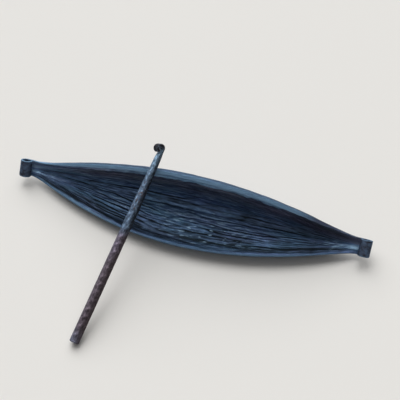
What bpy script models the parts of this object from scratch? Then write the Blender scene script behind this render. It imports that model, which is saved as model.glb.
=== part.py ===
"""A forged banana bell with its loose striker, in metres, resting on z = 0.

X runs along the bell, +Y is the far side, +Z is up. The bell is one plate:
a flat blank is dished into a boat, and its two tabs are rolled into eyes.
The bell lies on the flat of one flank. The striker stands on the ground and
leans on the far rim.
"""
import math

import bmesh
import bpy
from mathutils import Matrix, Vector

# Bell plate
EYE_SPAN = 0.220        # between the centres of the two rolled eyes
MOUTH_WIDTH = 0.0426    # across the mouth, wall middle to wall middle
RIM_RISE = 0.0170       # top of the rim above the line of the eyes
KEEL_DROP = 0.0056      # keel below the tabs
PLATE = 0.0022          # plate thickness
TAB_PLATE = 0.0013      # plate thickness at the tabs
TAB_WIDTH = 0.0106      # width of the rolled tabs
EYE_RADIUS = 0.0031     # of the rolled eyes, to the middle of the plate
KEEL_RADIUS = 0.0090    # fold along the keel
CHINE_RADIUS = 0.0077   # turn from flank to wall
DISH_SHARE = 0.96       # share of the eye span that is dished
WIDEST_AT = -0.0015     # place of the widest section along X
LEAF_SOFTNESS = 0.38    # how softly the leaf runs out into the tabs
RIM_POWER = 0.92        # how the rim line falls to the tabs
DISH_POWER = 4          # how soon the flat tabs take the dish's section
THICK_BY = 0.4          # share of the leaf's width at which the plate is full
TWIST = math.radians(9.5)   # from one eye to the other
LEAN = math.radians(41.3)   # of the mouth towards -Y; also the flank's slope
FLAT_DEPTH = 0.0006     # hammered off the flank to make the resting flat
FLAT_TOLERANCE = 1e-7   # faces this near the resting plane join into one
RIM_CHAMFER = 0.0004    # worn corner of the plate's edge

# Striker bar
STRIKER_LENGTH = 0.1285   # foot to the outside of the curl
HANDLE_RADIUS = 0.00265   # bar between its ribs
NECK_RADIUS = 0.0019      # forged end of the bar
TAPER_FROM = 0.074        # forged taper starts this far from the foot
CURL_STRIP = 0.0014       # flattened tip, thickness
CURL_WIDTH = 0.0057       # flattened tip, width
CURL_RADIUS = 0.0020      # of the curl, to the middle of the strip
CURL_TURN = math.radians(265)
FLATTEN_RUN = 0.0065      # from round bar to flat tip
LONG_RIB = 0.0004         # height of the two ribs along the bar
CROSS_RIB = 0.0003        # height of the ribs round the bar
CROSS_RIB_PITCH = 0.0052
CROSS_RIB_HALF = 0.0009   # half the width of a rib at its root
CROSS_RIB_TILT = 0.0016   # a rib's lead from side to side
FOOT_X = -0.0426          # foot of the striker on the ground
FOOT_Y = -0.0929
HEADING = math.radians(9.7)   # from +Y towards +X
ROLL = math.radians(135)      # of the bar about its own length
RIB_TURN = math.radians(45)   # of the long ribs from the curl's axis

# Clearances
REST_GAP = 0.0003       # striker above the rim
EYE_GAP = 0.0003        # rolled edge above the tab

# Mesh steps
BODY_COLUMNS = 40
EYE_COLUMNS = 12
ROWS = 16
BAR_SIDES = 16
CURL_STEPS = 12

# Derived sizes
HALF_SPAN = EYE_SPAN / 2
DISH_HALF = HALF_SPAN * DISH_SHARE
MOUTH_HALF = MOUTH_WIDTH / 2
KEEL_Z = -EYE_RADIUS - KEEL_DROP
DEPTH = RIM_RISE - KEEL_Z
FLANK = (MOUTH_HALF - KEEL_RADIUS * math.sin(LEAN)
         - CHINE_RADIUS * (1 - math.sin(LEAN))) / math.cos(LEAN)
WALL = (DEPTH - KEEL_RADIUS * (1 - math.cos(LEAN)) - FLANK * math.sin(LEAN)
        - CHINE_RADIUS * math.cos(LEAN))
GIRTH = KEEL_RADIUS * LEAN + FLANK + CHINE_RADIUS * (math.pi / 2 - LEAN) + WALL
EYE_TURN = 2 * math.pi - math.acos(
    (EYE_RADIUS - TAB_PLATE / 2 - EYE_GAP) / (EYE_RADIUS + TAB_PLATE / 2))
COLUMNS = BODY_COLUMNS + 2 * EYE_COLUMNS
CURL_START = STRIKER_LENGTH - CURL_RADIUS - CURL_STRIP / 2

# World up, seen from the bell's own frame, and the height of the eye line
UP = Vector((0, math.sin(LEAN), math.cos(LEAN)))
EYE_LINE_Z = (KEEL_RADIUS + PLATE / 2 - FLAT_DEPTH
              - (KEEL_Z + KEEL_RADIUS) * math.cos(LEAN))
FLANK_MID_Y = -KEEL_RADIUS * math.sin(LEAN) - FLANK * math.cos(LEAN) / 2
FLANK_MID_Z = (KEEL_Z + KEEL_RADIUS * (1 - math.cos(LEAN))
               + FLANK * math.sin(LEAN) / 2)
EYE_LINE_Y = FLANK_MID_Z * math.sin(LEAN) - FLANK_MID_Y * math.cos(LEAN)
BELL_PLACE = Matrix.Translation((0, EYE_LINE_Y, EYE_LINE_Z)) @ Matrix.Rotation(LEAN, 4, "X")


def section(share):
    """Half section of the dish, keel to rim, as shares of its width and depth."""
    run = abs(share) * GIRTH
    arc = min(run, KEEL_RADIUS * LEAN) / KEEL_RADIUS
    y = KEEL_RADIUS * math.sin(arc)
    z = KEEL_RADIUS * (1 - math.cos(arc))
    run -= KEEL_RADIUS * LEAN
    if run > 0:
        y += min(run, FLANK) * math.cos(LEAN)
        z += min(run, FLANK) * math.sin(LEAN)
        run -= FLANK
    if run > 0:
        arc = LEAN + min(run / CHINE_RADIUS, math.pi / 2 - LEAN)
        y += CHINE_RADIUS * (math.sin(arc) - math.sin(LEAN))
        z += CHINE_RADIUS * (math.cos(LEAN) - math.cos(arc))
        run -= CHINE_RADIUS * (math.pi / 2 - LEAN)
    if run > 0:
        z += run
    return math.copysign(y / MOUTH_HALF, share), z / DEPTH


def leaf(x):
    """How full the leaf is at x: 1 at the widest section, 0 at the tabs."""
    reach = DISH_HALF + WIDEST_AT if x < WIDEST_AT else DISH_HALF - WIDEST_AT
    return max(0.0, 1 - ((x - WIDEST_AT) / reach) ** 2)


def width_share(x):
    full = leaf(x)
    return full * full * (1 + LEAF_SOFTNESS) / (full + LEAF_SOFTNESS)


def plate_middle(column, row):
    """Middle of the plate at a place of the blank, in the bell's own frame."""
    body = BODY_COLUMNS / 2
    past = max(0.0, abs(column) - body)
    x = math.copysign(min(abs(column), body) / body * HALF_SPAN, column)
    y_share, z_share = section(row / (ROWS / 2))
    dished = 1 - (1 - leaf(x)) ** DISH_POWER
    y_share = y_share * dished + row / (ROWS / 2) * (1 - dished)
    half = TAB_WIDTH / 2 + (MOUTH_HALF - TAB_WIDTH / 2) * width_share(x)
    keel = -EYE_RADIUS - KEEL_DROP * leaf(x)
    rim = -EYE_RADIUS + (RIM_RISE + EYE_RADIUS) * leaf(x) ** RIM_POWER
    y = half * y_share
    z = keel + (rim - keel) * z_share
    if past > 0:
        turn = past / EYE_COLUMNS * EYE_TURN
        x += math.copysign(1.0, column) * EYE_RADIUS * math.sin(turn)
        z = -EYE_RADIUS * math.cos(turn)
    return Matrix.Rotation(-TWIST * x / EYE_SPAN, 3, "X") @ Vector((x, y, z))


def plate_point(column, row, side):
    """Outer (-1) or inner (+1) face of the plate; the resting flat is pressed in."""
    step = 0.01
    along = plate_middle(column + step, row) - plate_middle(column - step, row)
    across = plate_middle(column, row + step) - plate_middle(column, row - step)
    normal = along.cross(across).normalized()
    middle = plate_middle(column, row)
    x = max(-HALF_SPAN, min(HALF_SPAN, middle.x))
    thick = TAB_PLATE + (PLATE - TAB_PLATE) * min(1.0, width_share(x) / THICK_BY)
    outer = middle - normal * thick / 2
    lift = max(0.0, -EYE_LINE_Z - outer.dot(UP))
    return middle + normal * side * thick / 2 + UP * lift


def bar_radius(z):
    """Radius of the bar between its ribs, z from the foot."""
    if z < TAPER_FROM:
        return HANDLE_RADIUS
    run = min(1.0, (z - TAPER_FROM) / (CURL_START - FLATTEN_RUN - TAPER_FROM))
    return HANDLE_RADIUS + (NECK_RADIUS - HANDLE_RADIUS) * run ** 1.6


def bar_point(turn, z):
    """Skin of the bar at an angle round it and a length along it."""
    radius = bar_radius(z)
    flat = max(0.0, min(1.0, (z - CURL_START + FLATTEN_RUN) / FLATTEN_RUN))
    flat = flat * flat * (3 - 2 * flat)
    power = 1 - 0.5 * flat
    cosine = math.copysign(abs(math.cos(turn)) ** power, math.cos(turn))
    sine = math.copysign(abs(math.sin(turn)) ** power, math.sin(turn))
    x = (radius + (CURL_WIDTH / 2 - radius) * flat) * cosine
    y = (radius + (CURL_STRIP / 2 - radius) * flat) * sine
    past = max(0.0, z - CURL_START) / CURL_RADIUS
    y_turned = CURL_RADIUS - (CURL_RADIUS - y) * math.cos(past)
    return Vector((x, y_turned, min(z, CURL_START) + (CURL_RADIUS - y) * math.sin(past)))


def rim_corner(x):
    """Outer top corner of the far rim at x, in the world."""
    column = x / HALF_SPAN * BODY_COLUMNS / 2
    return BELL_PLACE @ plate_point(column, ROWS / 2, -1)


def solve(function, low, high):
    """Root of a rising function by halving."""
    for _ in range(60):
        middle = (low + high) / 2
        if function(middle) < 0:
            low = middle
        else:
            high = middle
    return (low + high) / 2


def new_object(name, mesh_maker, colour, roughness):
    """A named object of one closed body with a material of its own."""
    if mesh_maker.calc_volume(signed=True) < 0:
        bmesh.ops.reverse_faces(mesh_maker, faces=mesh_maker.faces)
    mesh = bpy.data.meshes.new(name)
    mesh_maker.to_mesh(mesh)
    mesh_maker.free()
    mesh.polygons.foreach_set("use_smooth", [True] * len(mesh.polygons))
    made = bpy.data.objects.new(name, mesh)
    bpy.context.scene.collection.objects.link(made)
    material = bpy.data.materials.new(name)
    material.use_nodes = True
    shader = material.node_tree.nodes["Principled BSDF"]
    shader.inputs["Base Color"].default_value = colour
    shader.inputs["Metallic"].default_value = 1.0
    shader.inputs["Roughness"].default_value = roughness
    mesh.materials.append(material)
    return made


for old in list(bpy.data.objects):
    bpy.data.objects.remove(old, do_unlink=True)

# Bell: a flat blank two skins thick, formed vertex by vertex; the resting flat is one face
blank = bmesh.new()
bmesh.ops.create_grid(blank, x_segments=COLUMNS, y_segments=ROWS, size=1.0,
                      matrix=Matrix.Diagonal((COLUMNS / 2, ROWS / 2, 1, 1)))
skin = bmesh.ops.extrude_face_region(blank, geom=blank.faces[:], use_keep_orig=True)
inner = [part for part in skin["geom"] if isinstance(part, bmesh.types.BMVert)]
bmesh.ops.translate(blank, verts=inner, vec=(0, 0, 1))
edge_lines = []
for edge in blank.edges:
    first, second = (vert.co for vert in edge.verts)
    on_end = abs(first.x) > COLUMNS / 2 - 0.1 and abs(second.x) > COLUMNS / 2 - 0.1
    on_rim = abs(first.y) > ROWS / 2 - 0.1 and abs(second.y) > ROWS / 2 - 0.1
    if (on_end or on_rim) and abs(first.z - second.z) < 0.1:
        edge_lines.append(edge)
for vert in blank.verts:
    vert.co = plate_point(vert.co.x, vert.co.y, 1 if vert.co.z > 0.5 else -1)
blank.normal_update()
bmesh.ops.bevel(blank, geom=edge_lines, offset=RIM_CHAMFER, segments=1, profile=0.5,
                affect="EDGES")
flat = [face for face in blank.faces
        if all(vert.co.dot(UP) + EYE_LINE_Z < FLAT_TOLERANCE for vert in face.verts)]
bmesh.ops.dissolve_faces(blank, faces=flat)
bmesh.ops.recalc_face_normals(blank, faces=blank.faces)
bell = new_object("bell", blank, (0.05, 0.06, 0.08, 1), 0.5)
bell.matrix_world = BELL_PLACE

# Lean of the striker: its skin clears the far rim by the resting gap
forward = Vector((math.sin(HEADING), math.cos(HEADING), 0))
sideways = Vector((math.cos(HEADING), -math.sin(HEADING), 0))
ground = Vector((FOOT_X, FOOT_Y, 0))
cross_x = solve(lambda x: (rim_corner(x) - ground).dot(sideways), -0.8 * HALF_SPAN, 0.8 * HALF_SPAN)
touch = rim_corner(cross_x)
rim_line = (rim_corner(cross_x + 0.0005) - rim_corner(cross_x - 0.0005)).normalized()


def clearance(lean):
    """How far the striker's skin stands off the rim corner at a lean."""
    axis = forward * math.cos(lean) + Vector((0, 0, math.sin(lean)))
    foot = ground + Vector((0, 0, HANDLE_RADIUS * math.cos(lean)))
    apart = axis.cross(rim_line).normalized()
    if apart.z < 0:
        apart.negate()
    return (foot - touch).dot(apart) - bar_radius((touch - foot).dot(axis)) - REST_GAP


lean = solve(clearance, 0.0, math.radians(60))
foot = ground + Vector((0, 0, HANDLE_RADIUS * math.cos(lean)))

# Striker: a round blank, one ring to a station, formed vertex by vertex
stations = [(0.0, 0.0)]
ribs = int((TAPER_FROM - 2 * CROSS_RIB_TILT) / CROSS_RIB_PITCH)
for rib in range(ribs):
    middle = CROSS_RIB_TILT + (rib + 0.5) * CROSS_RIB_PITCH
    stations += [(middle - CROSS_RIB_HALF, 0.0), (middle, 1.0), (middle + CROSS_RIB_HALF, 0.0)]
neck = CURL_START - FLATTEN_RUN
stations += [(TAPER_FROM + (neck - TAPER_FROM) * step / 6, 0.0) for step in range(7)]
stations += [(neck + FLATTEN_RUN * step / 4, 0.0) for step in range(1, 5)]
stations += [(CURL_START + CURL_RADIUS * CURL_TURN * step / CURL_STEPS, 0.0)
             for step in range(1, CURL_STEPS + 1)]
bar = bmesh.new()
bmesh.ops.create_circle(bar, cap_ends=True, segments=BAR_SIDES, radius=1.0)
end = bar.faces[:]
for station in range(1, len(stations)):
    grown = bmesh.ops.extrude_face_region(bar, geom=end + list(end[0].edges))
    ring = [part for part in grown["geom"] if isinstance(part, bmesh.types.BMVert)]
    bmesh.ops.translate(bar, verts=ring, vec=(0, 0, 1))
    end = [part for part in grown["geom"] if isinstance(part, bmesh.types.BMFace)]
for vert in bar.verts:
    place, cross = stations[round(vert.co.z)]
    turn = math.atan2(vert.co.y, vert.co.x)
    ribbed = max(0.0, min(1.0, (TAPER_FROM - place) / CROSS_RIB_PITCH))
    tilted = 0.0 if place == 0 else ribbed * CROSS_RIB_TILT * math.cos(turn - RIB_TURN)
    along = abs(math.cos(turn - RIB_TURN)) > math.cos(math.pi / BAR_SIDES)
    height = ribbed * max(LONG_RIB if along else 0.0, cross * CROSS_RIB)
    skin_point = bar_point(turn, place)
    outwards = Vector((math.cos(turn), math.sin(turn), 0))
    vert.co = skin_point + outwards * height + Vector((0, 0, tilted))
bmesh.ops.recalc_face_normals(bar, faces=bar.faces)
striker = new_object("striker", bar, (0.09, 0.075, 0.07, 1), 0.6)
striker.matrix_world = (Matrix.Translation(foot) @ Matrix.Rotation(-HEADING, 4, "Z")
                        @ Matrix.Rotation(lean - math.pi / 2, 4, "X") @ Matrix.Rotation(ROLL, 4, "Z"))
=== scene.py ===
"""Looks of a forged banana bell and its loose striker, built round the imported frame.

Metres, +Z up. X runs along the bell and +Y is the far side. The bell lies on a flat
of its near flank, and the striker stands on the table and leans on the far rim.
"""
import math
import random

import bmesh
import bpy
import numpy as np
from mathutils import Matrix, Vector, noise


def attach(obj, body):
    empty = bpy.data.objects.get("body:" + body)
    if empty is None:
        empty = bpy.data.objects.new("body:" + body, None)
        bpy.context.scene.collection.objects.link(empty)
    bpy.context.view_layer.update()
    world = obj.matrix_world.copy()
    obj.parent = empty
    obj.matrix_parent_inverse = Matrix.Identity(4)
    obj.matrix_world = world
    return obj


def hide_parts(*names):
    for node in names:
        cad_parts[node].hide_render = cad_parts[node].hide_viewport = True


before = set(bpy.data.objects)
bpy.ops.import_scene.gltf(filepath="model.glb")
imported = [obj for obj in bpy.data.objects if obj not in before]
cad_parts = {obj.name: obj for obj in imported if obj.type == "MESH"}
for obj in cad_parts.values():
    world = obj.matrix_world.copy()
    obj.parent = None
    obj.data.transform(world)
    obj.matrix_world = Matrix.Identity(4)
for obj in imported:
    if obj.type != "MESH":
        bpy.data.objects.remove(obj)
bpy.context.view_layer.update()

# Bell
# One leaf of iron plate, forged hot into a boat, with each end rolled into an eye.
# It lies on a flat hammered into its near flank. The mesh is a sheet wrapped once
# round the plate's own section and sewn up under the keel.
EYE_SPAN = 0.220        # between the centres of the two rolled eyes
MOUTH_WIDTH = 0.0426    # across the mouth, wall middle to wall middle
RIM_RISE = 0.0170       # top of the rim above the line of the eyes
KEEL_DROP = 0.0056      # keel below the tabs
PLATE = 0.0022          # plate thickness
TAB_PLATE = 0.0013      # plate thickness at the tabs
TAB_WIDTH = 0.0106      # width of the rolled tabs
EYE_RADIUS = 0.0031     # of the rolled eyes, to the middle of the plate
KEEL_RADIUS = 0.0090    # fold along the keel
CHINE_RADIUS = 0.0077   # turn from flank to wall
DISH_SHARE = 0.96       # share of the eye span that is dished
WIDEST_AT = -0.0015     # place of the widest section along X
LEAF_SOFTNESS = 0.38    # how softly the leaf runs out into the tabs
RIM_POWER = 0.92        # how the rim line falls to the tabs
DISH_POWER = 4          # how soon the flat tabs take the dish's section
THICK_BY = 0.4          # share of the leaf's width at which the plate is full
TWIST = math.radians(9.5)   # from one eye to the other
LEAN = math.radians(41.3)   # of the mouth towards -Y; also the flank's slope
FLAT_DEPTH = 0.0006     # hammered off the flank to make the resting flat
EYE_GAP = 0.0003        # rolled edge above the tab
FAR_ROUND = 0.0004      # round of the far edge, nearly square
NEAR_ROUND = 0.0010     # round of the near edge, worn
FAR_EDGE_POWER = 0.5
NEAR_EDGE_POWER = 0.8

HALF_SPAN = EYE_SPAN / 2
DISH_HALF = HALF_SPAN * DISH_SHARE
MOUTH_HALF = MOUTH_WIDTH / 2
KEEL_Z = -EYE_RADIUS - KEEL_DROP
DEPTH = RIM_RISE - KEEL_Z
FLANK = (MOUTH_HALF - KEEL_RADIUS * math.sin(LEAN)
         - CHINE_RADIUS * (1 - math.sin(LEAN))) / math.cos(LEAN)
WALL = (DEPTH - KEEL_RADIUS * (1 - math.cos(LEAN)) - FLANK * math.sin(LEAN)
        - CHINE_RADIUS * math.cos(LEAN))
GIRTH = KEEL_RADIUS * LEAN + FLANK + CHINE_RADIUS * (math.pi / 2 - LEAN) + WALL
EYE_TURN = 2 * math.pi - math.acos(
    (EYE_RADIUS - TAB_PLATE / 2 - EYE_GAP) / (EYE_RADIUS + TAB_PLATE / 2))
UP = np.array((0, math.sin(LEAN), math.cos(LEAN)))
EYE_LINE_Z = (KEEL_RADIUS + PLATE / 2 - FLAT_DEPTH
              - (KEEL_Z + KEEL_RADIUS) * math.cos(LEAN))
FLANK_MID_Y = -KEEL_RADIUS * math.sin(LEAN) - FLANK * math.cos(LEAN) / 2
FLANK_MID_Z = (KEEL_Z + KEEL_RADIUS * (1 - math.cos(LEAN))
               + FLANK * math.sin(LEAN) / 2)
EYE_LINE_Y = FLANK_MID_Z * math.sin(LEAN) - FLANK_MID_Y * math.cos(LEAN)
BELL_PLACE = Matrix.Translation((0, EYE_LINE_Y, EYE_LINE_Z)) @ Matrix.Rotation(LEAN, 4, "X")

# Columns run along the blank; rows go once round it, under the near side first
BODY_COLUMNS = 212
EYE_COLUMNS = 30
OUTER_ROWS = 36
EDGE_ROWS = 8
INNER_ROWS = 200
COLUMNS = BODY_COLUMNS + 2 * EYE_COLUMNS
ROWS = 2 * OUTER_ROWS + 2 * EDGE_ROWS + INNER_ROWS
ROW_STOPS = np.cumsum((0, OUTER_ROWS, EDGE_ROWS, INNER_ROWS, EDGE_ROWS, OUTER_ROWS))

# Deep creases inside the bell, each from a place to a place, and its depth: a place is
# millimetres along and the share of the half girth, -1 at the near rim
DEEP_CREASES = (
    (-100, -0.03, -58, -0.20, 1.1),
    (-72, 0.02, -2, 0.09, 1.1),
    (-56, -0.18, -20, -0.30, 1.4),
    (-68, -0.27, -22, -0.44, 1.4),
    (-66, -0.40, -18, -0.54, 1.4),
    (-62, -0.52, -26, -0.62, 1.6),
    (-60, -0.61, -28, -0.68, 1.2),
    (-60, -0.69, -26, -0.73, 1.8),
    (-94, -0.62, -58, -0.78, 1.8),
    (2, -0.20, 44, -0.18, 0.9),
    (6, -0.31, 44, -0.36, 1.2),
    (40, -0.36, 74, -0.28, 1.3),
    (8, -0.43, 54, -0.50, 1.1),
    (-4, -0.54, 36, -0.54, 0.9),
    (36, -0.63, 68, -0.68, 1.2),
    (16, -0.67, 54, -0.81, 1.3),
    (66, -0.38, 92, -0.43, 1.2),
    (6, 0.20, 34, 0.23, 0.6),
    (-64, 0.28, -34, 0.34, 0.9),
    (30, 0.00, 62, 0.03, 0.6),
    (36, -0.11, 96, -0.13, 0.7),
    (-44, -0.84, 24, -0.89, 1.2),
    (-6, -0.80, 46, -0.85, 1.1),
    (14, -0.91, 76, -0.93, 1.3),
    (-40, -0.92, 10, -0.935, 1.0),
    (44, -0.79, 84, -0.86, 1.2),
    (-84, -0.86, -46, -0.90, 1.5),
)
CREASE_DEPTH = 0.00045
CREASE_HALF = 0.020             # half breadth, as a share of the half girth
CREASE_PITCH = 0.062            # between the lines of finer creases, as such a share
CREASE_LINES = (-0.92, 0.62)    # from the first line to the last
CREASE_RUN = (22, 60)           # length in millimetres
CREASE_STRENGTH = (0.1, 0.6)
CREASE_WANDER = 0.008
FIRST_START = (-120, -80)       # where the first run of a line starts, in millimetres
LAST_START = 90
RUN_OVERLAP = (0, 10)           # of one run and the next, in millimetres
LINE_SCATTER = (-0.4, 0.4)      # of a run off its line, as a share of the pitch
RUN_SLANT = (-0.03, 0.03)       # from a run's start to its stop, as a share of the half girth
# Length along the bell, pitch across it and depth of each size of furrow
FURROWS = ((0.036, 0.0052, 0.00022), (0.016, 0.0025, 0.00013), (0.008, 0.0013, 0.00008))
FURROW_SHARPNESS = 8
DRIFT_RUN = 0.030
DRIFT_PITCH = 0.012
SWELL_RUN = 0.036
SWELL_PITCH = 0.009
SWELL_DEPTH = 0.00020
FLAKE_RUN = 0.0045
FLAKE_PITCH = 0.0016
FLAKE_DEPTH = 0.00010
HAMMER_DEPTH = 0.00006
HAMMER_MARK = 0.009
DENT_DEPTH = 0.00022
DENT_SIZE = 0.0100
SCALE_PATCHES = ((0.017, 0.8), (0.007, 0.6), (0.003, 0.5))   # size and weight
PATCH_STRETCH = 0.6
BODY_FROM = 0.16                # fullness of the leaf at which the relief is full
FAR_CALM = 0.3                  # share of the relief that the far wall lacks
FAR_CALM_RISE = (0.0, 0.25)     # shares of the half girth

# Lip and edges. The far lip starts, is full, fades and ends at these places along the bell
LIP_RUN = (-0.104, -0.045, 0.080, 0.090)
LIP_WIDTH = 0.0022
# Shares of the half girth where the lip rises, falls back to the edge and turns bright
LIP_FOOT = (0.910, 0.945)
LIP_BROW = (0.965, 0.995)
LIP_BRIGHT = (0.930, 0.950)
LIP_RAGGED = 0.02
# The lip narrows twice towards the right: by a share, from a place to a place
LIP_NARROWINGS = ((0.036, 0.004, 0.022), (0.030, 0.046, 0.074))
LIP_SHINE = (-0.040, -0.015)    # dull to the left of this, shiny to the right
UPSET_SHARE = 0.25
BURR_MARK = 0.004
BURR_SHARE = 0.3
NEAR_LIP = 0.0007
NEAR_LIP_RUN = (0.030, 0.060)
NEAR_LIP_FOOT = (0.94, 0.985)
FAR_EDGE_BARE_TO = (0.066, 0.080)
EYE_EDGE_BARE = 0.6
# Darker grey-violet scale up the far wall, with a painted shade under the far lip, and darker towards the
# right end: shares of the half girth, then places along the bell
DARK_RISE = (0.10, 0.45)
SHADE_UNDER_LIP = (0.925, 0.940)
DARK_LEFT = (-0.095, -0.060)
DARK_RIGHT = (0.055, 0.080)
FAR_WALL = (0.0, 0.3)           # shares of the half girth where the far wall begins
LEFT_TAB = (0.080, 0.103)       # along the bell, towards each eye
RIGHT_TAB = (0.074, 0.096)
TAB_AT = -0.38                  # middle and half breadth of the rubbed tabs
TAB_HALF = 0.3

# Broad places inside the bell where the scale is rubbed bright, or, where the strength is
# negative, darkened by a painted shade, mostly in the corner under the near rim, below the
# far lip and at the ends: millimetres along, share of the half girth, half length in
# millimetres, half breadth and strength
WEAR_AND_SHADE_PLACES = (
    (8, -0.25, 48, 0.18, 0.47),
    (-46, -0.33, 16, 0.10, 0.35),
    (-84, -0.35, 14, 0.09, 0.50),
    (-58, 0.20, 34, 0.22, 0.40),
    (25, -0.88, 18, 0.07, 0.30),
    (-72, -0.87, 32, 0.10, -1.20),
    (-68, -0.68, 26, 0.12, -0.35),
    (-16, -0.82, 18, 0.10, -0.40),
    (84, -0.70, 30, 0.10, -0.80),
    (66, -0.88, 24, 0.07, -0.40),
    (12, -0.68, 56, 0.10, -0.38),
    (48, -0.03, 34, 0.09, -0.40),
    (88, 0.58, 24, 0.34, -0.60),
    (88, 0.02, 18, 0.22, -0.20),
    (84, -0.90, 14, 0.06, -0.50),
    (-84, 0.72, 22, 0.10, -0.80),
    (-92, 0.10, 16, 0.06, -0.50),
    (101, -0.30, 9, 0.35, 0.55),
)
# Places, in the same terms, where worn bare spots are painted bright as glints, a painted highlight
GLINT_PLACES = (
    (8, -0.38, 32, 0.26, 0.9),
    (12, -0.82, 26, 0.11, 0.6),
)


def leaf(x):
    """How full the leaf is at x: 1 at its widest, 0 at the tabs."""
    reach = np.where(x < WIDEST_AT, DISH_HALF + WIDEST_AT, DISH_HALF - WIDEST_AT)
    return np.clip(1 - ((x - WIDEST_AT) / reach) ** 2, 0, 1)


def width_share(x):
    full = leaf(x)
    return full * full * (1 + LEAF_SOFTNESS) / (full + LEAF_SOFTNESS)


def dish(share):
    """Half section from keel to rim, as shares of the half width and of the depth."""
    run = np.abs(share) * GIRTH
    keel = np.clip(run / KEEL_RADIUS, 0, LEAN)
    flank = np.clip(run - KEEL_RADIUS * LEAN, 0, FLANK)
    past_flank = run - KEEL_RADIUS * LEAN - FLANK
    chine = LEAN + np.clip(past_flank / CHINE_RADIUS, 0, math.pi / 2 - LEAN)
    wall = np.clip(run - GIRTH + WALL, 0, WALL)
    across = (KEEL_RADIUS * np.sin(keel) + flank * math.cos(LEAN)
              + CHINE_RADIUS * (np.sin(chine) - math.sin(LEAN)))
    rise = (KEEL_RADIUS * (1 - np.cos(keel)) + flank * math.sin(LEAN)
            + CHINE_RADIUS * (math.cos(LEAN) - np.cos(chine)) + wall)
    return np.sign(share) * across / MOUTH_HALF, rise / DEPTH


def plate_middle(column, share):
    """Middle of the plate in the bell's own frame, for places of the flat blank."""
    x = np.clip(column / (BODY_COLUMNS / 2), -1, 1) * HALF_SPAN
    turn = np.clip(np.abs(column) - BODY_COLUMNS / 2, 0, None) / EYE_COLUMNS * EYE_TURN
    full = leaf(x)
    across, rise = dish(share)
    dished = 1 - (1 - full) ** DISH_POWER
    half = TAB_WIDTH / 2 + (MOUTH_HALF - TAB_WIDTH / 2) * width_share(x)
    keel = -EYE_RADIUS - KEEL_DROP * full
    rim = -EYE_RADIUS + (RIM_RISE + EYE_RADIUS) * full ** RIM_POWER
    y = half * (across * dished + share * (1 - dished))
    z = np.where(turn > 0, -EYE_RADIUS * np.cos(turn), keel + (rim - keel) * rise)
    x = x + np.sign(column) * EYE_RADIUS * np.sin(turn)
    twist = -TWIST * x / EYE_SPAN
    return np.stack((x, y * np.cos(twist) - z * np.sin(twist),
                     y * np.sin(twist) + z * np.cos(twist)), axis=-1)


def unit(vectors):
    return vectors / np.linalg.norm(vectors, axis=-1, keepdims=True)


def smooth(low, high, value):
    """0 below low, 1 above high, and a soft step between."""
    step = np.clip((value - low) / (high - low), 0, 1)
    return step * step * (3 - 2 * step)


def grain(x, y, z):
    """Noise between -1 and 1 at the given places."""
    return np.array([noise.noise(Vector(place)) for place in zip(x, y, z)])


sheet = bmesh.new()
bmesh.ops.create_grid(sheet, x_segments=COLUMNS, y_segments=ROWS, size=1.0,
                      matrix=Matrix.Diagonal((COLUMNS / 2, ROWS / 2, 1, 1)))
flat = np.array([vert.co for vert in sheet.verts])
column = flat[:, 0]
row = np.round(flat[:, 1] + ROWS / 2)
share = np.interp(row, ROW_STOPS, (0, -1, -1, 1, 1, 0))
over = np.radians(np.interp(row, ROW_STOPS, (-90, -90, 90, 90, -90, -90)))
side = np.where(share < 0, -1.0, 1.0)
edge_power = np.where(share < 0, NEAR_EDGE_POWER, FAR_EDGE_POWER)
edge_round = np.where(share < 0, NEAR_ROUND, FAR_ROUND)
depth = np.sign(over) * np.abs(np.sin(over)) ** edge_power
edge = np.abs(np.cos(over)) ** edge_power
inside = np.clip(depth, 0, 1)
outside = np.clip(-depth, 0, 1)
x = np.clip(column / (BODY_COLUMNS / 2), -1, 1) * HALF_SPAN
rolled = np.clip(np.abs(column) - BODY_COLUMNS / 2, 0, None) / EYE_COLUMNS * EYE_TURN
along_blank = x + np.sign(column) * EYE_RADIUS * rolled
up_blank = share * GIRTH
body = smooth(0.0, BODY_FROM, leaf(x))

# Creases: each line of the leaf is drawn out in broken runs, a groove between raised
# shoulders that fades at both ends
chance = random.Random(7)
creases = list(DEEP_CREASES)
for line in np.arange(*CREASE_LINES, CREASE_PITCH):
    start = chance.uniform(*FIRST_START)
    while start < LAST_START:
        stop = start + chance.uniform(*CREASE_RUN)
        at = line + chance.uniform(*LINE_SCATTER) * CREASE_PITCH
        stop_at = at + chance.uniform(*RUN_SLANT)
        creases.append((start, at, stop, stop_at, chance.uniform(*CREASE_STRENGTH)))
        start = stop - chance.uniform(*RUN_OVERLAP)
relief = np.zeros(len(flat))
for start, start_at, stop, stop_at, strength in creases:
    run = np.clip((x * 1000 - start) / (stop - start), 0, 1)
    at = start_at + (stop_at - start_at) * run + CREASE_WANDER * np.sin(run * 9 + start)
    away = (share - at) / CREASE_HALF
    fade = np.sqrt(np.sin(np.pi * run).clip(0, 1))
    relief -= CREASE_DEPTH * strength * fade * (1 - away ** 2) * np.exp(-away ** 2)
# Furrows: thin grooves that wander between broad swells, with loose scale over them
drift = grain(x / DRIFT_RUN, up_blank / DRIFT_PITCH, depth + 7)
for furrow_run, furrow_pitch, furrow_depth in FURROWS:
    ridge = np.abs(grain(x / furrow_run, up_blank / furrow_pitch + drift, depth + 3))
    relief -= furrow_depth * (1 - ridge) ** FURROW_SHARPNESS
relief += FLAKE_DEPTH * grain(x / FLAKE_RUN, up_blank / FLAKE_PITCH, depth * 2)
swell = body * SWELL_DEPTH * grain(x / SWELL_RUN, up_blank / SWELL_PITCH + drift, depth + 11)
hammer = grain(along_blank / HAMMER_MARK, up_blank / HAMMER_MARK, depth * 3)
calm = 1 - FAR_CALM * smooth(*FAR_CALM_RISE, share)
relief = body * calm * (relief + HAMMER_DEPTH * hammer)
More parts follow.
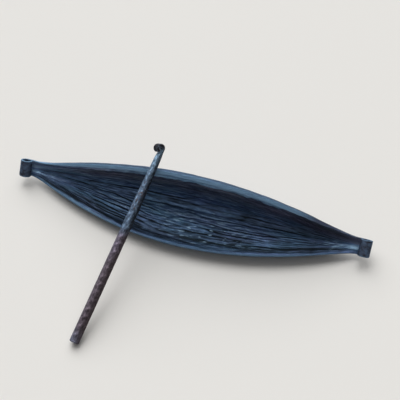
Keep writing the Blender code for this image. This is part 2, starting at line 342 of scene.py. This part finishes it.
# Dents: the back shows overlapping hammer blows under patches of scale
dent_places = zip(along_blank / DENT_SIZE, up_blank / DENT_SIZE, depth * 5)
from_blow = np.array([noise.voronoi(Vector(place))[0][0] for place in dent_places])
dent = outside * body * DENT_DEPTH * (1 - smooth(0.0, 0.8, from_blow))
tab_marks = outside * (1 - body) * HAMMER_DEPTH * hammer
patch = np.zeros(len(flat))
for size, weight in SCALE_PATCHES:
    patch += weight * grain(along_blank / size, up_blank / size / PATCH_STRETCH, depth + 5)

# Lip: the far edge is upset by the hammer and burred over towards the inside
lip_start, lip_full, lip_fade, lip_end = LIP_RUN
lip_run = smooth(lip_start, lip_full, x) * (1 - smooth(lip_fade, lip_end, x))
burr = 1 + BURR_SHARE * grain(x / BURR_MARK, share * 40, depth)
narrowing = sum(by * smooth(start, stop, x) for by, start, stop in LIP_NARROWINGS)
ragged = share + LIP_RAGGED * (burr - 1) - narrowing
upset = UPSET_SHARE + (1 - UPSET_SHARE) * (1 - smooth(*LIP_BROW, share))
lip = LIP_WIDTH * lip_run * burr * smooth(*LIP_FOOT, ragged) * upset
lip_shine = 0.5 + 0.5 * smooth(*LIP_SHINE, x)
lip_top = inside * lip_run * lip_shine * smooth(*LIP_BRIGHT, ragged)
near_run = smooth(*NEAR_LIP_RUN, -x)
near_burr = 1 + 2 * BURR_SHARE * grain(x / BURR_MARK / 2, share * 40, depth)
near_lip = NEAR_LIP * near_run * body * near_burr * smooth(*NEAR_LIP_FOOT, -share)
# Bright edges: bare metal along both rims, ragged where it meets the scale of the near wall
near_border = 0.1 + 0.5 * near_run + 0.5 * grain(x / BURR_MARK, x * 0, x * 0)
near_bare = 1 - smooth(near_border - 0.5, near_border + 0.3, depth)
near_bright = (0.75 + 0.25 * near_run) * near_bare
far_bright = np.maximum(1 - smooth(*FAR_EDGE_BARE_TO, x), EYE_EDGE_BARE * (rolled > 0))
bright_edge = edge * np.where(share < 0, near_bright, far_bright)


def patches(places):
    """Sum of soft patches inside the bell."""
    total = np.zeros(len(flat))
    for along_mm, at, half_mm, half_share, strength in places:
        away = ((x * 1000 - along_mm) / half_mm) ** 2 + ((share - at) / half_share) ** 2
        total += inside * strength * np.exp(-away)
    return total


# Darker grey-violet scale up the far wall, fainter to the left, with a painted shade under the far lip that
# stops sharply at the lip's bright top, and darker towards the right end
under_lip = smooth(*DARK_RISE, share) * (1 - lip_shine * smooth(*SHADE_UNDER_LIP, ragged))
under_lip *= 0.3 + 0.7 * smooth(*DARK_LEFT, x)
right_end = 0.9 * smooth(*DARK_RIGHT, x) * smooth(*FAR_WALL, share)
dark_scale_and_shade = np.maximum(inside * under_lip, right_end)
# Tone of the scale: dark in the creases, light on the ridges, and lighter on the far wall, a painted light
# against its shade
far_wall_painted_light = 0.30 * smooth(*FAR_WALL, share)
back_tone = 0.40 * patch - 0.45
tone = inside * (relief / CREASE_DEPTH + far_wall_painted_light) + patches(WEAR_AND_SHADE_PLACES) + outside * back_tone
tab_ends = np.maximum(smooth(*LEFT_TAB, -x), smooth(*RIGHT_TAB, x))
tab = inside * tab_ends * np.exp(-((share - TAB_AT) / TAB_HALF) ** 2)
eye = np.clip(np.abs(column) - BODY_COLUMNS / 2 + 3, 0, 4) / 4

rim_step = plate_middle(column, side) - plate_middle(column, side * 0.98)
pull = edge_round * 0.02 / np.linalg.norm(rim_step, axis=-1)
middle = plate_middle(column, share * (1 - pull))
along = plate_middle(column + 0.01, share) - plate_middle(column - 0.01, share)
across = plate_middle(column, share + 0.001) - plate_middle(column, share - 0.001)
normal = unit(np.cross(along, across))
thick = TAB_PLATE + (PLATE - TAB_PLATE) * np.clip(width_share(x) / THICK_BY, 0, 1)
pressed = np.clip(-EYE_LINE_Z - (middle - normal * thick[:, None] / 2) @ UP, 0, None)
skin = depth * thick / 2 + inside * (relief + swell + lip + near_lip) + dent - tab_marks
points = (middle + normal * skin[:, None] + pressed[:, None] * UP
          + unit(across) * (side * edge * edge_round)[:, None])
points += np.clip(-EYE_LINE_Z - points @ UP, 0, None)[:, None] * UP

# What the material reads: the place on the blank; places of painted glints, worn tabs and eyes; and marks of
# the scale, with painted light and shade among them
blank = np.stack((along_blank, up_blank, depth), axis=-1)
glint_and_wear = np.stack((patches(GLINT_PLACES), tab, eye), axis=-1)
marks = {"tone": tone, "edge": bright_edge, "lip": lip_top, "dark_scale_and_shade": dark_scale_and_shade}
blank_layer = sheet.verts.layers.float_vector.new("blank")
glint_wear_layer = sheet.verts.layers.float_vector.new("glint_and_wear")
for name in marks:
    sheet.verts.layers.float.new(name)
mark_layers = [sheet.verts.layers.float[name] for name in marks]
for index, vert in enumerate(sheet.verts):
    vert.co = points[index]
    vert[blank_layer] = blank[index]
    vert[glint_wear_layer] = glint_and_wear[index]
    for layer, mark in zip(mark_layers, marks.values()):
        vert[layer] = mark[index]
bmesh.ops.remove_doubles(sheet, verts=sheet.verts, dist=1e-7)
bmesh.ops.holes_fill(sheet, edges=[line for line in sheet.edges if line.is_boundary])
bmesh.ops.transform(sheet, matrix=BELL_PLACE, verts=sheet.verts)
bmesh.ops.recalc_face_normals(sheet, faces=sheet.faces)
if sheet.calc_volume(signed=True) < 0:
    bmesh.ops.reverse_faces(sheet, faces=sheet.faces)
bell_mesh = bpy.data.meshes.new("bell_forged")
sheet.to_mesh(bell_mesh)
sheet.free()
bell_mesh.polygons.foreach_set("use_smooth", [True] * len(bell_mesh.polygons))
bell = bpy.data.objects.new("bell_forged", bell_mesh)
bpy.context.scene.collection.objects.link(bell)


def linear(code):
    """A hex colour as linear red, green, blue and alpha."""
    channels = [int(code[place:place + 2], 16) / 255 for place in (1, 3, 5)]
    return [c / 12.92 if c <= 0.04045 else ((c + 0.055) / 1.055) ** 2.4 for c in channels] + [1]


def add(tree, kind, inputs=None, stops=(), **settings):
    """Adds a node with its settings; an input takes a value, or a socket to link.

    Stops are the places and hex colours of a colour ramp.
    """
    made = tree.nodes.new(kind)
    for name, value in settings.items():
        setattr(made, name, value)
    for name, value in (inputs or {}).items():
        if isinstance(value, bpy.types.NodeSocket):
            tree.links.new(value, made.inputs[name])
        else:
            made.inputs[name].default_value = value
    if stops:
        colours = made.color_ramp.elements
        colours[0].position, colours[1].position = stops[0][0], stops[-1][0]
        for stop in stops[1:-1]:
            colours.new(stop[0])
        for colour, stop in zip(colours, stops):
            colour.color = linear(stop[1])
    return made


# Forged iron: plate worked hot, so it keeps a skin of blue-black scale. To the eye it is
# dark and satin, black in the creases and bluer on the ridges, with lighter worn edges.
# Bare spots where it is rubbed are painted bright as glints, a painted highlight; the far
# wall is painted lighter against its shade, and the grey-violet scale under the lip is
# darker with a painted shade.
SCALE_TONES = ((0.0, "#151a20"), (0.40, "#414f65"), (0.64, "#54698a"), (0.90, "#788eaa"))
SCALE_CLOUD = 0.011     # size of the clouds of warmer and cooler scale
# Real flakes of scale are about a third of a millimetre, too fine to show, so the flecks
# and glints are drawn as coarse as the render needs
FLECK_SIZE = 0.00143
GLINT_SIZE = 0.00167
EYE_BLOTCH = 0.0025
# Flecks are drawn out along the blank; the third share only parts the two faces
FLECK_STRETCH = (0.3, 1, 0.02)
EYE_STRETCH = (1, TAB_WIDTH / 2 / GIRTH, 0.002)
PAINTED_GLINT = "#9bbcd6"
WORN_EDGE = "#7292ae"
EYE_DARK = "#2d2a31"
EYE_LIGHT = "#4d5d74"
DARK_TINT = (0.68, 0.49, 0.44, 1)
WARM_TINT = (1.0, 0.92, 0.98, 1)
COOL_TINT = (0.85, 1.05, 1.0, 1)

iron = bpy.data.materials.new("forged_iron")
iron.use_nodes = True
tree = iron.node_tree
shader = tree.nodes["Principled BSDF"]
tone_read = add(tree, "ShaderNodeAttribute", attribute_name="tone")
edge_read = add(tree, "ShaderNodeAttribute", attribute_name="edge")
lip_read = add(tree, "ShaderNodeAttribute", attribute_name="lip")
dark_read = add(tree, "ShaderNodeAttribute", attribute_name="dark_scale_and_shade")
blank_read = add(tree, "ShaderNodeAttribute", attribute_name="blank")
glint_wear_read = add(tree, "ShaderNodeAttribute", attribute_name="glint_and_wear")
glint_wear_parts = add(tree, "ShaderNodeSeparateXYZ", {0: glint_wear_read.outputs["Vector"]})
fleck_place = add(tree, "ShaderNodeVectorMath", {0: blank_read.outputs["Vector"], 1: FLECK_STRETCH},
                  operation="MULTIPLY")
fleck = add(tree, "ShaderNodeTexNoise", {"Vector": fleck_place.outputs[0], "Scale": 1 / FLECK_SIZE,
                                         "Detail": 4.0, "Roughness": 0.6})
cloud = add(tree, "ShaderNodeTexNoise", {"Vector": fleck_place.outputs[0], "Scale": 1 / SCALE_CLOUD,
                                         "Detail": 5.0, "Roughness": 0.65})
# Colour of the scale, from crease to ridge, clouded and flecked
height = add(tree, "ShaderNodeMapRange", {0: tone_read.outputs["Fac"], 1: -1.0, 2: 0.5})
scale_tone = add(tree, "ShaderNodeValToRGB", {0: height.outputs[0]}, stops=SCALE_TONES)
tint = add(tree, "ShaderNodeMapRange", {0: cloud.outputs[0], 1: 0.35, 2: 0.65})
cloud_tint = add(tree, "ShaderNodeMix", {0: tint.outputs[0], 6: WARM_TINT, 7: COOL_TINT}, data_type="RGBA")
tinted = add(tree, "ShaderNodeMix", {0: 1.0, 6: scale_tone.outputs["Color"], 7: cloud_tint.outputs[2]},
             data_type="RGBA", blend_type="MULTIPLY")
fleck_light = add(tree, "ShaderNodeMapRange", {0: fleck.outputs[0], 1: 0.3, 2: 0.7, 3: 0.7, 4: 1.3})
flecked = add(tree, "ShaderNodeVectorMath", {0: tinted.outputs[2], "Scale": fleck_light.outputs[0]},
              operation="SCALE")
# Glints: small bare spots painted bright, a painted highlight, that gather on ridges, in clouds and on the
# tabs
glint = add(tree, "ShaderNodeTexNoise", {"Vector": fleck_place.outputs[0], "Scale": 1 / GLINT_SIZE,
                                         "Detail": 1.0})
on_ridge = add(tree, "ShaderNodeMapRange", {0: height.outputs[0], 1: 0.55, 2: 0.85, 3: -0.06, 4: 0.03})
in_cloud = add(tree, "ShaderNodeMath", {0: tint.outputs[0], 1: 0.09, 2: on_ridge.outputs[0]},
               operation="MULTIPLY_ADD")
on_tab = add(tree, "ShaderNodeMath", {0: glint_wear_parts.outputs["Y"], 1: 0.14, 2: in_cloud.outputs[0]},
             operation="MULTIPLY_ADD")
glint_height = add(tree, "ShaderNodeMath", {0: glint.outputs[0], 1: on_tab.outputs[0]}, operation="ADD")
glint_spot = add(tree, "ShaderNodeMapRange", {0: glint_height.outputs[0], 1: 0.63, 2: 0.71})
glint_region = add(tree, "ShaderNodeMath", {0: glint_wear_parts.outputs["X"], 1: glint_wear_parts.outputs["Y"]},
             operation="MAXIMUM")
glint_share = add(tree, "ShaderNodeMath", {0: glint_spot.outputs[0], 1: glint_region.outputs[0]},
                  operation="MULTIPLY")
glinted = add(tree, "ShaderNodeMix", {0: glint_share.outputs[0], 6: flecked.outputs[0], 7: linear(PAINTED_GLINT)},
              data_type="RGBA")
# Painted shade under the far lip, with darker scale up the far wall and towards the right end
darkened = add(tree, "ShaderNodeMix", {0: dark_read.outputs["Fac"], 6: glinted.outputs[2], 7: DARK_TINT},
             data_type="RGBA", blend_type="MULTIPLY")
# Eyes: blotched scale, dark and light, over the rolled ends
eye_place = add(tree, "ShaderNodeVectorMath", {0: blank_read.outputs["Vector"], 1: EYE_STRETCH},
                operation="MULTIPLY")
eye_noise = add(tree, "ShaderNodeTexNoise", {"Vector": eye_place.outputs[0], "Scale": 1 / EYE_BLOTCH,
                                             "Detail": 4.0, "Roughness": 0.65})
eye_share = add(tree, "ShaderNodeMapRange", {0: eye_noise.outputs[0], 1: 0.36, 2: 0.64})
eye_scale = add(tree, "ShaderNodeMix", {0: eye_share.outputs[0], 6: linear(EYE_DARK), 7: linear(EYE_LIGHT)},
                data_type="RGBA")
eyed = add(tree, "ShaderNodeMix", {0: glint_wear_parts.outputs["Z"], 6: darkened.outputs[2], 7: eye_scale.outputs[2]},
           data_type="RGBA")
# Worn edges: lighter along the rims and, less so, on top of the lip
lip_worn = add(tree, "ShaderNodeMath", {0: lip_read.outputs["Fac"], 1: 0.4}, operation="MULTIPLY")
edge_worn = add(tree, "ShaderNodeMath", {0: edge_read.outputs["Fac"], 1: lip_worn.outputs[0]},
                operation="MAXIMUM")
edge_fleck = add(tree, "ShaderNodeMapRange", {0: fleck.outputs[0], 1: 0.35, 2: 0.6, 3: 0.4, 4: 1.0})
worn_share = add(tree, "ShaderNodeMath", {0: edge_worn.outputs[0], 1: edge_fleck.outputs[0]},
                 operation="MULTIPLY")
worn = add(tree, "ShaderNodeMix", {0: worn_share.outputs[0], 6: eyed.outputs[2], 7: linear(WORN_EDGE)},
           data_type="RGBA")
rough = add(tree, "ShaderNodeMapRange", {0: fleck.outputs[0], 1: 0.3, 2: 0.7, 3: 0.58, 4: 0.38})
bump = add(tree, "ShaderNodeBump", {"Height": fleck.outputs[0], "Strength": 0.8, "Distance": 0.0004})
tree.links.new(worn.outputs[2], shader.inputs["Base Color"])
tree.links.new(rough.outputs[0], shader.inputs["Roughness"])
tree.links.new(bump.outputs[0], shader.inputs["Normal"])
shader.inputs["Metallic"].default_value = 0.7
shader.inputs["Specular Tint"].default_value = (0.4, 0.6, 0.85, 1)
bell_mesh.materials.append(iron)
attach(bell, "bell")
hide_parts("bell")

# Striker
# A length of ribbed iron bar. The grip keeps its rolled ribs under brown scale; the other
# half is forged square, drawn down, flattened at the tip and curled into a small eye. It
# is loose: it stands on its cropped foot and leans on the bell's far rim.
STRIKER_LENGTH = 0.1285   # foot to the outside of the curl
HANDLE_RADIUS = 0.00265   # bar between its ribs
NECK_RADIUS = 0.0019      # forged end of the bar
TAPER_FROM = 0.074        # forged taper starts this far from the foot
TAPER_POWER = 1.6
CURL_STRIP = 0.0014       # flattened tip, thickness
CURL_WIDTH = 0.0057       # flattened tip, width
CURL_RADIUS = 0.0020      # of the curl, to the middle of the strip
CURL_TURN = math.radians(265)
FLATTEN_RUN = 0.0065      # from round bar to flat tip
LONG_RIB = 0.0004         # height of the two ribs along the bar
LONG_RIB_HALF = 0.0005
CROSS_RIB = 0.00042       # height of the ribs round the bar
CROSS_RIB_PITCH = 0.0052
CROSS_RIB_HALF = 0.0011
CROSS_RIB_TILT = 0.0016   # a rib's lead from side to side
RIB_WEAR = 0.003          # size of the worn places on the ribs
RIB_FADE = 0.007          # the ribs fade over this run before the taper
FORGED_BY = 0.002         # and are gone this far into it
CROP_ROUND = 0.0006       # round of the cropped foot
FOOT = (-0.0426, -0.0929)             # start of the bar's axis, seen from above
HEADING = math.radians(9.7)           # of the bar, to the right of straight back
ROLL = math.radians(135)              # of the bar about its own axis
RIB_TURN = math.radians(45)           # place of the long ribs round the bar
STRIKER_LEAN = math.radians(18.219)   # of the bar, up from the table
SQUARENESS = 3.2          # power of the forged section: 2 is round
SQUARE_TURN = math.radians(119)
SQUARE_WANDER = math.radians(9)
SQUARE_RUN = 0.012        # length over which the square wanders
PIT_DEPTH = 0.00006
PIT_SIZE = 0.0012
LUMP_DEPTH = 0.00030
LUMP_SIZE = 0.0014
LUMPS_FROM = 0.084
LUMPS_TO = 0.106
LUMP_TURN = math.radians(142)
LUMP_SPREAD = 0.7
# Painted shade down the side of the bar away from the light
SHADED_SIDE = (100, 222, 300, 345)   # degrees round the bar: dark from, full, fading, gone
GRIP_SHADE = 0.86         # how dark that side of the grip is, beside the forged half's
LUMP_RUST = 0.8
GRIP_RUST = 0.35

CURL_START = STRIKER_LENGTH - CURL_RADIUS - CURL_STRIP / 2
NECK = CURL_START - FLATTEN_RUN
BAR_LENGTH = CURL_START + CURL_RADIUS * CURL_TURN
STRIKER_PLACE = (Matrix.Translation((*FOOT, HANDLE_RADIUS * math.cos(STRIKER_LEAN)))
                 @ Matrix.Rotation(-HEADING, 4, "Z")
                 @ Matrix.Rotation(STRIKER_LEAN - math.pi / 2, 4, "X")
                 @ Matrix.Rotation(ROLL, 4, "Z"))
BAR_SIDES = 80
BAR_STOPS = np.cumsum((0, 6, 230, 150, 24, 50, 6))
BAR_PLACES = (0, CROP_ROUND, TAPER_FROM, NECK, CURL_START, BAR_LENGTH - CROP_ROUND / 2, BAR_LENGTH)

rod = bmesh.new()
bmesh.ops.create_grid(rod, x_segments=int(BAR_STOPS[-1]), y_segments=BAR_SIDES, size=1.0,
                      matrix=Matrix.Diagonal((BAR_STOPS[-1] / 2, BAR_SIDES / 2, 1, 1)))
flat = np.array([vert.co for vert in rod.verts])
z = np.interp(np.round(flat[:, 0] + BAR_STOPS[-1] / 2), BAR_STOPS, BAR_PLACES)
turn = flat[:, 1] / BAR_SIDES * 2 * math.pi
ring_x, ring_y = HANDLE_RADIUS * np.cos(turn), HANDLE_RADIUS * np.sin(turn)
forged = smooth(TAPER_FROM - RIB_FADE, TAPER_FROM + FORGED_BY, z)
drawn = np.clip((z - TAPER_FROM) / (NECK - TAPER_FROM), 0, 1) ** TAPER_POWER
radius = HANDLE_RADIUS + (NECK_RADIUS - HANDLE_RADIUS) * drawn
from_end = np.minimum(np.minimum(z, (BAR_LENGTH - z) * 2), CROP_ROUND)
radius = radius - CROP_ROUND + np.sqrt(CROP_ROUND ** 2 - (CROP_ROUND - from_end) ** 2)

# Grip: two long ribs, and worn cross ribs slanting between them
from_long = HANDLE_RADIUS * np.abs(np.arcsin(np.sin(turn - RIB_TURN)))
long_rib = LONG_RIB * np.exp(-(from_long / LONG_RIB_HALF) ** 2)
across_rib = (z + CROSS_RIB_TILT * np.cos(turn - RIB_TURN)) / CROSS_RIB_PITCH
from_rib = (across_rib - np.round(across_rib)) * CROSS_RIB_PITCH
between_long = np.abs(np.sin(turn - RIB_TURN)) ** 0.5
rib_wear = 0.7 + 0.5 * grain(ring_x / RIB_WEAR, ring_y / RIB_WEAR, z / RIB_WEAR * 0.75)
cross_rib = CROSS_RIB * rib_wear * between_long * np.exp(-(from_rib / CROSS_RIB_HALF) ** 2)
rib = (1 - forged) * np.maximum(long_rib, cross_rib) * np.clip(z / CROP_ROUND, 0, 1)

# Forged half: a soft square that wanders round the bar, with lumps of scale left on it
corner = turn - SQUARE_TURN - SQUARE_WANDER * grain(z / SQUARE_RUN, z * 0, z * 0)
across_corner = np.abs(np.cos(corner)) ** SQUARENESS + np.abs(np.sin(corner)) ** SQUARENESS
square = across_corner ** (-1 / SQUARENESS)
pit = grain(ring_x / PIT_SIZE, ring_y / PIT_SIZE, z / PIT_SIZE / 2)
lump_run = smooth(LUMPS_FROM, LUMPS_FROM + 0.003, z) * (1 - smooth(LUMPS_TO - 0.006, LUMPS_TO, z))
lump_side = np.exp(-((turn % (2 * math.pi) - LUMP_TURN) / LUMP_SPREAD) ** 2)
lump_grain = grain(ring_x / LUMP_SIZE, ring_y / LUMP_SIZE, z / LUMP_SIZE + 20)
lump = lump_run * lump_side * smooth(0.0, 0.4, lump_grain)
radius = radius * (1 + forged * (square - 1)) + rib + PIT_DEPTH * pit + LUMP_DEPTH * lump

flattened = smooth(CURL_START - FLATTEN_RUN, CURL_START, z)
corner_power = 1 - 0.5 * flattened
cosine = np.sign(np.cos(turn)) * np.abs(np.cos(turn)) ** corner_power
sine = np.sign(np.sin(turn)) * np.abs(np.sin(turn)) ** corner_power
bar_x = (radius + (CURL_WIDTH / 2 - radius) * flattened) * cosine
bar_y = (radius + (CURL_STRIP / 2 - radius) * flattened) * sine
past = np.clip(z - CURL_START, 0, None) / CURL_RADIUS
points = np.stack((bar_x, CURL_RADIUS - (CURL_RADIUS - bar_y) * np.cos(past),
                   np.minimum(z, CURL_START) + (CURL_RADIUS - bar_y) * np.sin(past)), axis=-1)
points = np.array([STRIKER_PLACE @ Vector(point) for point in points])
points[:, 2] = points[:, 2].clip(0, None)

# What the material reads: the place on the bar, its skin, and the painted shade down one side
dark_from, dark_full, dark_fade, dark_gone = SHADED_SIDE
degrees = np.degrees(turn) % 360
shaded_side = smooth(dark_from, dark_full, degrees) * (1 - smooth(dark_fade, dark_gone, degrees))
shaded_side *= GRIP_SHADE + (1 - GRIP_SHADE) * forged
# Rust on the lumps, and a rusty warmth laid over the grip's painted shade
rust = np.maximum(LUMP_RUST * lump, GRIP_RUST * shaded_side * (1 - forged))
bar = np.stack((ring_x, ring_y, z), axis=-1)
skins = np.stack((rib / LONG_RIB, forged, rust), axis=-1)
bar_layer = rod.verts.layers.float_vector.new("bar")
skin_layer = rod.verts.layers.float_vector.new("skin")
side_shade_layer = rod.verts.layers.float.new("side_shade")
for vert, point, place, skin, shade in zip(rod.verts, points, bar, skins, shaded_side):
    vert.co = point
    vert[bar_layer] = place
    vert[skin_layer] = skin
    vert[side_shade_layer] = shade
bmesh.ops.remove_doubles(rod, verts=rod.verts, dist=1e-7)
bmesh.ops.holes_fill(rod, edges=[line for line in rod.edges if line.is_boundary])
bmesh.ops.recalc_face_normals(rod, faces=rod.faces)
if rod.calc_volume(signed=True) < 0:
    bmesh.ops.reverse_faces(rod, faces=rod.faces)
striker_mesh = bpy.data.meshes.new("striker_forged")
rod.to_mesh(striker_mesh)
rod.free()
striker_mesh.polygons.foreach_set("use_smooth", [True] * len(striker_mesh.polygons))
striker = bpy.data.objects.new("striker_forged", striker_mesh)
bpy.context.scene.collection.objects.link(striker)

# Ribbed bar iron: rolled bar with a brown mill scale, forged and heated at one half. To
# the eye the grip is a dull mottled brown with lighter ribs, a violet heat band follows,
# and the forged half is blue-grey, satin and speckled. One side of the bar is darker, a
# painted shade, and the neck under the curl is lighter, a painted highlight; the foot's
# lighter blue is partly a painted highlight too.
# The foot's lighter blue is partly a painted highlight on its rounded end, and the pale neck under the curl
# is a painted highlight
FOOT_BLUE = "#6e7184"
GRIP_BROWN = "#60565f"
HEAT_VIOLET = "#6c6473"
FORGED_BLUE = "#596c84"
NECK_HIGHLIGHT = "#7d9ab2"
CURL_DARK = "#4a464f"
BAR_COLOURS = ((0.0, FOOT_BLUE), (0.010, GRIP_BROWN), (0.050, GRIP_BROWN), (0.061, HEAT_VIOLET),
                (0.067, HEAT_VIOLET), (0.073, FORGED_BLUE), (0.104, FORGED_BLUE), (0.124, NECK_HIGHLIGHT),
                (0.128, CURL_DARK))   # distance from the foot, and colour
BARE_SPECK = "#8ba6bd"
RUST = "#4a3a37"
SHADE_TINT = (0.19, 0.16, 0.15, 1)
# The bar's own grain is finer than a pixel, so both patterns are drawn coarser to show
BLOTCH_SIZE = 0.00125
SPECK_SIZE = 0.00067
BLOTCH_STRETCH = (1, 1, 0.6)

bar_iron = bpy.data.materials.new("ribbed_bar_iron")
bar_iron.use_nodes = True
tree = bar_iron.node_tree
shader = tree.nodes["Principled BSDF"]
bar_read = add(tree, "ShaderNodeAttribute", attribute_name="bar")
skin_read = add(tree, "ShaderNodeAttribute", attribute_name="skin")
side_shade_read = add(tree, "ShaderNodeAttribute", attribute_name="side_shade")
bar_parts = add(tree, "ShaderNodeSeparateXYZ", {0: bar_read.outputs["Vector"]})
skin_parts = add(tree, "ShaderNodeSeparateXYZ", {0: skin_read.outputs["Vector"]})
blotch_place = add(tree, "ShaderNodeVectorMath", {0: bar_read.outputs["Vector"], 1: BLOTCH_STRETCH},
                   operation="MULTIPLY")
blotch = add(tree, "ShaderNodeTexNoise", {"Vector": blotch_place.outputs[0], "Scale": 1 / BLOTCH_SIZE,
                                          "Detail": 3.0, "Roughness": 0.6})
speck = add(tree, "ShaderNodeTexNoise", {"Vector": bar_read.outputs["Vector"], "Scale": 1 / SPECK_SIZE,
                                         "Detail": 2.0})
# Colours along the bar: heat tints, with painted highlights at the foot and neck; a painted shade down one
# side; lighter on the ribs
along_bar = add(tree, "ShaderNodeMapRange", {0: bar_parts.outputs["Z"], 1: 0.0, 2: BAR_LENGTH})
bar_colour = add(tree, "ShaderNodeValToRGB", {0: along_bar.outputs[0]},
           stops=[(place / BAR_LENGTH, code) for place, code in BAR_COLOURS])
shaded = add(tree, "ShaderNodeMix", {0: side_shade_read.outputs["Fac"], 6: bar_colour.outputs["Color"], 7: SHADE_TINT},
             data_type="RGBA", blend_type="MULTIPLY")
rib_light = add(tree, "ShaderNodeMath", {0: skin_parts.outputs["X"], 1: 0.5, 2: 0.85},
                operation="MULTIPLY_ADD")
mottle = add(tree, "ShaderNodeMapRange", {0: blotch.outputs[0], 1: 0.36, 2: 0.64, 3: 0.4, 4: 1.5})
light_share = add(tree, "ShaderNodeMath", {0: mottle.outputs[0], 1: rib_light.outputs[0]},
                  operation="MULTIPLY")
mottled = add(tree, "ShaderNodeVectorMath", {0: shaded.outputs[2], "Scale": light_share.outputs[0]},
              operation="SCALE")
# Bare specks on the forged half, and rust on the lumps and over the grip's painted shade
bare_spot = add(tree, "ShaderNodeMapRange", {0: blotch.outputs[0], 1: 0.56, 2: 0.68, 3: 0.0, 4: 0.5})
bare_share = add(tree, "ShaderNodeMath", {0: bare_spot.outputs[0], 1: skin_parts.outputs["Y"]},
                 operation="MULTIPLY")
specked = add(tree, "ShaderNodeMix", {0: bare_share.outputs[0], 6: mottled.outputs[0], 7: linear(BARE_SPECK)},
              data_type="RGBA")
rust_speck = add(tree, "ShaderNodeMapRange", {0: speck.outputs[0], 1: 0.55, 2: 0.65, 3: 0.0, 4: 0.14})
rust_share = add(tree, "ShaderNodeMath", {0: skin_parts.outputs["Z"], 1: rust_speck.outputs[0]},
                 operation="ADD")
rusted = add(tree, "ShaderNodeMix", {0: rust_share.outputs[0], 6: specked.outputs[2], 7: linear(RUST)},
             data_type="RGBA")
rough = add(tree, "ShaderNodeMapRange", {0: blotch.outputs[0], 1: 0.3, 2: 0.7, 3: 0.62, 4: 0.4})
bump = add(tree, "ShaderNodeBump", {"Height": speck.outputs[0], "Strength": 0.6, "Distance": 0.0002})
tree.links.new(rusted.outputs[2], shader.inputs["Base Color"])
tree.links.new(rough.outputs[0], shader.inputs["Roughness"])
tree.links.new(bump.outputs[0], shader.inputs["Normal"])
shader.inputs["Metallic"].default_value = 0.6
shader.inputs["Specular Tint"].default_value = (0.6, 0.7, 0.85, 1)
striker_mesh.materials.append(bar_iron)
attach(striker, "striker")
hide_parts("striker")

# Table
# A plain pale top under the bell, matt and much larger than the view.
TABLE_HALF = 20.0
TABLE_PAINT = "#e4e2de"
top_sheet = bmesh.new()
bmesh.ops.create_grid(top_sheet, x_segments=1, y_segments=1, size=TABLE_HALF)
table_mesh = bpy.data.meshes.new("table_top")
top_sheet.to_mesh(table_mesh)
top_sheet.free()
table = bpy.data.objects.new("table_top", table_mesh)
bpy.context.scene.collection.objects.link(table)
paint = bpy.data.materials.new("matt_paint")
paint.use_nodes = True
paint_shader = paint.node_tree.nodes["Principled BSDF"]
paint_shader.inputs["Base Color"].default_value = linear(TABLE_PAINT)
paint_shader.inputs["Roughness"].default_value = 0.8
table_mesh.materials.append(paint)

# Light
# Two broad windows behind the bell, one straight back and one to the left, and a weaker
# lamp overhead. The room in front is dim, but shows pale to the eye and in metal.
# Each window: degrees round from +Y, degrees up, degrees broad, and strength
WINDOWS = ((-8, 45, 58, 1.77), (-45, 45, 58, 1.77), (0, 90, 90, 0.30))
ROOM_LIGHT = 0.09
ROOM_SEEN = 0.5
for heading, rise, breadth, strength in WINDOWS:
    window = bpy.data.lights.new("window", "SUN")
    window.angle = math.radians(breadth)
    window.energy = strength
    lamp = bpy.data.objects.new("window", window)
    bpy.context.scene.collection.objects.link(lamp)
    lamp.rotation_euler = (math.radians(rise - 90), 0, math.radians(-heading))
world = bpy.data.worlds.new("room")
bpy.context.scene.world = world
world.use_nodes = True
tree = world.node_tree
ray = add(tree, "ShaderNodeLightPath")
mirrored = add(tree, "ShaderNodeMath", {0: ray.outputs["Is Camera Ray"], 1: ray.outputs["Is Glossy Ray"]},
               operation="MAXIMUM")
seen = add(tree, "ShaderNodeMath", {0: mirrored.outputs[0], 1: ray.outputs["Is Transmission Ray"]},
           operation="MAXIMUM")
glow = add(tree, "ShaderNodeMapRange", {0: seen.outputs[0], 3: ROOM_LIGHT, 4: ROOM_SEEN})
tree.nodes["Background"].inputs["Color"].default_value = (1, 1, 1, 1)
tree.links.new(glow.outputs[0], tree.nodes["Background"].inputs["Strength"])

# Camera
# A long lens looking down at sixty degrees, a little from the right.
VIEW_AZIMUTH = math.radians(15.2)
VIEW_ELEVATION = math.radians(60)
VIEW_FROM = (0.07421, -0.24280, 0.47206)
LENS = 76.5     # millimetres, on a sensor 36 wide
camera = bpy.data.cameras.new("camera")
camera.sensor_width = 36
camera.lens = LENS
viewer = bpy.data.objects.new("camera", camera)
bpy.context.scene.collection.objects.link(viewer)
viewer.location = VIEW_FROM
viewer.rotation_euler = (math.pi / 2 - VIEW_ELEVATION, 0, VIEW_AZIMUTH)
bpy.context.scene.camera = viewer
bpy.context.scene.view_settings.view_transform = "Standard"
